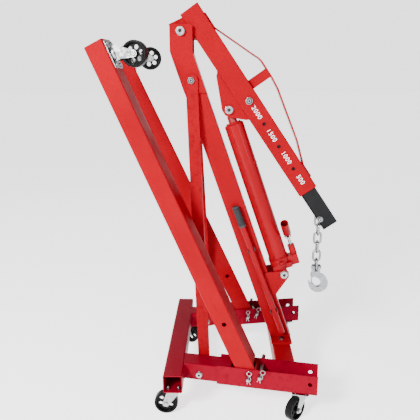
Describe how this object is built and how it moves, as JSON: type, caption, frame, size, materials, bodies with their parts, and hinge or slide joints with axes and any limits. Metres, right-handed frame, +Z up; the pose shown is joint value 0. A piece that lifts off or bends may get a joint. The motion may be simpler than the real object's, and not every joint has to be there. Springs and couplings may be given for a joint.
{
  "type": "folding engine hoist",
  "caption": "Folding shop crane standing folded on casters: splayed base, leaning mast, hydraulic ram, boom with sliding extension, chain and hook, and legs folded up.",
  "frame": {"origin": "middle of the bounding box bottom face: on the floor, mid-way between the two legs", "axes": "+X forward, the way the unfolded legs and the boom point; +Y to the left side; +Z up from the floor"},
  "size_m": [0.8256, 0.6256, 1.3445],
  "materials": {
    "red_paint": "glossy bright red enamel",
    "red_paint_base": "glossy red enamel, slightly darker",
    "red_paint_ram": "glossy red enamel",
    "black_paint": "satin black enamel",
    "zinc": "bright zinc plate",
    "chrome": "hard chrome, polished",
    "galvanised": "galvanised, slightly dull",
    "black_clip": "black moulded spring clip",
    "grip": "dark grey rubber grip",
    "wheel": "black moulded wheel"
  },
  "bodies": {
    "frame": {"rear_crossbeam": "red_paint_base", "stub_right": "red_paint_base", "stub_left": "red_paint_base", "sleeve_right": "red_paint_base", "sleeve_left": "red_paint_base", "front_crossmember": "red_paint", "mast_tube": "red_paint", "mast_foot_plate": "red_paint", "mast_ears": "red_paint", "ram_bracket": "red_paint", "support_bar_right": "red_paint", "support_bar_left": "red_paint", "handle_clips": "black_clip", "frame_bolts": "zinc", "base_caster_plates": "zinc", "leg_pins": "zinc", "leg_pin_clips": "zinc", "pivot_bolts": "zinc"},
    "boom": {"boom_tube": "red_paint", "boom_lugs": "red_paint", "boom_gussets": "red_paint", "boom_post": "red_paint", "boom_strap": "red_paint", "boom_bolts": "zinc"},
    "extension": {"boom_extension": "black_paint", "chain_bolt": "zinc"},
    "ram": {"ram_cylinder": "red_paint_ram", "ram_gland": "red_paint_ram", "ram_base": "red_paint_ram"},
    "valve": {"release_valve": "red_paint_ram"},
    "rod": {"ram_rod": "chrome"},
    "plunger": {"pump_plunger": "zinc"},
    "socket": {"pump_socket": "red_paint_ram", "pump_links": "zinc"},
    "handle": {"pump_handle": "red_paint_ram", "pump_handle_grip": "grip"},
    "leg_right": {"leg_right": "red_paint", "caster_plate_leg_right": "zinc"},
    "leg_left": {"leg_left": "red_paint", "caster_plate_leg_left": "zinc"},
    "fork_rear_right": {"caster_fork_rear_right": "zinc"},
    "wheel_rear_right": {"caster_wheel_rear_right": "wheel"},
    "fork_rear_left": {"caster_fork_rear_left": "zinc"},
    "wheel_rear_left": {"caster_wheel_rear_left": "wheel"},
    "fork_front_right": {"caster_fork_front_right": "zinc"},
    "wheel_front_right": {"caster_wheel_front_right": "wheel"},
    "fork_front_left": {"caster_fork_front_left": "zinc"},
    "wheel_front_left": {"caster_wheel_front_left": "wheel"},
    "fork_leg_right": {"caster_fork_leg_right": "zinc"},
    "wheel_leg_right": {"caster_wheel_leg_right": "wheel"},
    "fork_leg_left": {"caster_fork_leg_left": "zinc"},
    "wheel_leg_left": {"caster_wheel_leg_left": "wheel"},
    "link_1": {"chain_link_1": "galvanised"},
    "link_2": {"chain_link_2": "galvanised"},
    "link_3": {"chain_link_3": "galvanised"},
    "link_4": {"chain_link_4": "galvanised"},
    "link_5": {"chain_link_5": "galvanised"},
    "link_6": {"chain_link_6": "galvanised"},
    "hook": {"hook": "galvanised"},
    "latch": {"hook_latch": "galvanised"}
  },
  "joints": [
    {"name": "boom_lift", "type": "hinge", "parent": "frame", "child": "boom", "pos_m": [-0.1303, 0, 1.2559], "axis": [0, -1, 0], "range_deg": [0, 90]},
    {"name": "ram_tilt", "type": "hinge", "parent": "frame", "child": "ram", "pos_m": [0.2308, 0, 0.4235], "axis": [0, 1, 0], "range_deg": [0, 12.77]},
    {"name": "ram_stroke", "type": "slide", "parent": "ram", "child": "rod", "axis": [-0.3285, 0, 0.9445], "range_m": [0, 0.38035]},
    {"name": "extension_slide", "type": "slide", "parent": "boom", "child": "extension", "axis": [0.5642, 0, -0.8256], "range_m": [0, 0.276]},
    {"name": "release_valve_turn", "type": "hinge", "parent": "ram", "child": "valve", "pos_m": [0.22144, -0.04, 0.46259], "axis": [0, -1, 0], "range_deg": [0, 360]},
    {"name": "pump_stroke", "type": "hinge", "parent": "ram", "child": "socket", "pos_m": [0.24654, 0.017, 0.55179], "axis": [0.9445, 0, 0.3285], "range_deg": [0, 40]},
    {"name": "plunger_stroke", "type": "slide", "parent": "ram", "child": "plunger", "axis": [0.3285, 0, -0.9445], "range_m": [0, 0.012]},
    {"name": "handle_off", "type": "slide", "parent": "frame", "child": "handle", "axis": [0, -1, 0], "range_m": [0, 0.08]},
    {"name": "leg_right_fold", "type": "hinge", "parent": "frame", "child": "leg_right", "pos_m": [0.10399, -0.22643, 0.144], "axis": [0.1771, 0.9842, 0], "range_deg": [0, 115]},
    {"name": "leg_left_fold", "type": "hinge", "parent": "frame", "child": "leg_left", "pos_m": [0.10399, 0.22643, 0.144], "axis": [-0.1771, 0.9842, 0], "range_deg": [0, 115]},
    {"name": "swivel_rear_right", "type": "hinge", "parent": "frame", "child": "fork_rear_right", "pos_m": [-0.15245, -0.248, 0.096], "axis": [0, 0, 1], "continuous": true},
    {"name": "roll_rear_right", "type": "hinge", "parent": "fork_rear_right", "child": "wheel_rear_right", "pos_m": [-0.18045, -0.248, 0.04], "axis": [0, 1, 0], "continuous": true},
    {"name": "swivel_rear_left", "type": "hinge", "parent": "frame", "child": "fork_rear_left", "pos_m": [-0.15245, 0.248, 0.096], "axis": [0, 0, 1], "continuous": true},
    {"name": "roll_rear_left", "type": "hinge", "parent": "fork_rear_left", "child": "wheel_rear_left", "pos_m": [-0.12757, 0.23516, 0.04], "axis": [-0.4586, -0.8886, 0], "continuous": true},
    {"name": "swivel_front_right", "type": "hinge", "parent": "frame", "child": "fork_front_right", "pos_m": [0.27298, -0.25683, 0.096], "axis": [0, 0, 1], "continuous": true},
    {"name": "roll_front_right", "type": "hinge", "parent": "fork_front_right", "child": "wheel_front_right", "pos_m": [0.25318, -0.27663, 0.04], "axis": [-0.7071, 0.7071, 0], "continuous": true},
    {"name": "swivel_front_left", "type": "hinge", "parent": "frame", "child": "fork_front_left", "pos_m": [0.27298, 0.25683, 0.096], "axis": [0, 0, 1], "continuous": true},
    {"name": "roll_front_left", "type": "hinge", "parent": "fork_front_left", "child": "wheel_front_left", "pos_m": [0.25318, 0.27663, 0.04], "axis": [0.7071, 0.7071, 0], "continuous": true},
    {"name": "swivel_leg_right", "type": "hinge", "parent": "leg_right", "child": "fork_leg_right", "pos_m": [-0.32071, -0.15001, 1.18271], "axis": [-0.8941, 0.1609, -0.4179], "continuous": true},
    {"name": "roll_leg_right", "type": "hinge", "parent": "fork_leg_right", "child": "wheel_leg_right", "pos_m": [-0.25913, -0.16109, 1.18068], "axis": [0.1771, 0.9842, 0], "continuous": true},
    {"name": "swivel_leg_left", "type": "hinge", "parent": "leg_left", "child": "fork_leg_left", "pos_m": [-0.32071, 0.15001, 1.18271], "axis": [-0.8941, -0.1609, -0.4179], "continuous": true},
    {"name": "roll_leg_left", "type": "hinge", "parent": "fork_leg_left", "child": "wheel_leg_left", "pos_m": [-0.25913, 0.16109, 1.18068], "axis": [-0.1771, 0.9842, 0], "continuous": true},
    {"name": "link_1_swing", "type": "hinge", "parent": "extension", "child": "link_1", "pos_m": [0.35188, 0, 0.62711], "axis": [0, 1, 0], "range_deg": [-40, 14]},
    {"name": "link_2_swing", "type": "hinge", "parent": "link_1", "child": "link_2", "pos_m": [0.35188, 0, 0.59531], "axis": [1, 0, 0], "range_deg": [-30, 30]},
    {"name": "link_3_swing", "type": "hinge", "parent": "link_2", "child": "link_3", "pos_m": [0.35188, 0, 0.56181], "axis": [0, 1, 0], "range_deg": [-30, 20]},
    {"name": "link_4_swing", "type": "hinge", "parent": "link_3", "child": "link_4", "pos_m": [0.35188, 0, 0.52831], "axis": [1, 0, 0], "range_deg": [-30, 30]},
    {"name": "link_5_swing", "type": "hinge", "parent": "link_4", "child": "link_5", "pos_m": [0.35188, 0, 0.49481], "axis": [0, 1, 0], "range_deg": [-30, 30]},
    {"name": "link_6_swing", "type": "hinge", "parent": "link_5", "child": "link_6", "pos_m": [0.35188, 0, 0.46131], "axis": [1, 0, 0], "range_deg": [-30, 30]},
    {"name": "hook_swing", "type": "hinge", "parent": "link_6", "child": "hook", "pos_m": [0.35188, 0, 0.43711], "axis": [1, 0, 0], "range_deg": [-45, 45]},
    {"name": "latch_turn", "type": "hinge", "parent": "hook", "child": "latch", "pos_m": [0.34188, 0, 0.41311], "axis": [0, 1, 0], "range_deg": [-25, 0], "stiffness_Nm_per_rad": 0.12, "springref_deg": 6.88}
  ],
  "couplings": [
    {"joint": "ram_tilt", "follows": "boom_lift", "ratio": 0.14187},
    {"joint": "ram_stroke", "follows": "boom_lift", "m_per_rad": 0.24214},
    {"joint": "plunger_stroke", "follows": "pump_stroke", "m_per_rad": 0.017189}
  ]
}
